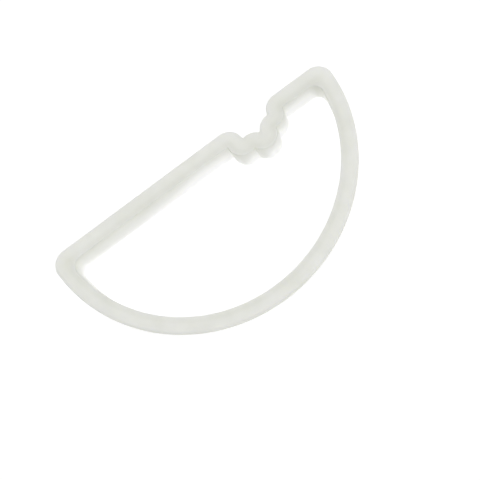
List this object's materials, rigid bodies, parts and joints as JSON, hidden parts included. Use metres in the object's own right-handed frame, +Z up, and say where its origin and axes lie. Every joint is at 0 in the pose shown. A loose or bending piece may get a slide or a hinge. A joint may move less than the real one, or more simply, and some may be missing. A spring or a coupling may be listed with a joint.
{
  "type": "cheek retractor",
  "caption": "Half-moon ring of milky translucent plastic, L-shaped in section: a flat rim with a thin wall below its inner edge, and a scalloped notch in its straight side.",
  "frame": {"origin": "under the middle of the ring's bounding box, on the plane that the wall's free edge stands on", "axes": "+X along the straight side towards the notch, +Y out of the straight side, +Z up through the wall to the rim's broad face"},
  "size_m": [0.13, 0.068, 0.012],
  "materials": {
    "milky_plastic": "milky translucent plastic, smooth with a soft sheen, paler where it is thin"
  },
  "bodies": {
    "root": {"rim_bow": "milky_plastic", "rim_long_side": "milky_plastic", "rim_short_side": "milky_plastic", "rim_notch": "milky_plastic", "wall_bow": "milky_plastic", "wall_long_side": "milky_plastic", "wall_short_side": "milky_plastic", "wall_notch": "milky_plastic"}
  },
  "joints": []
}
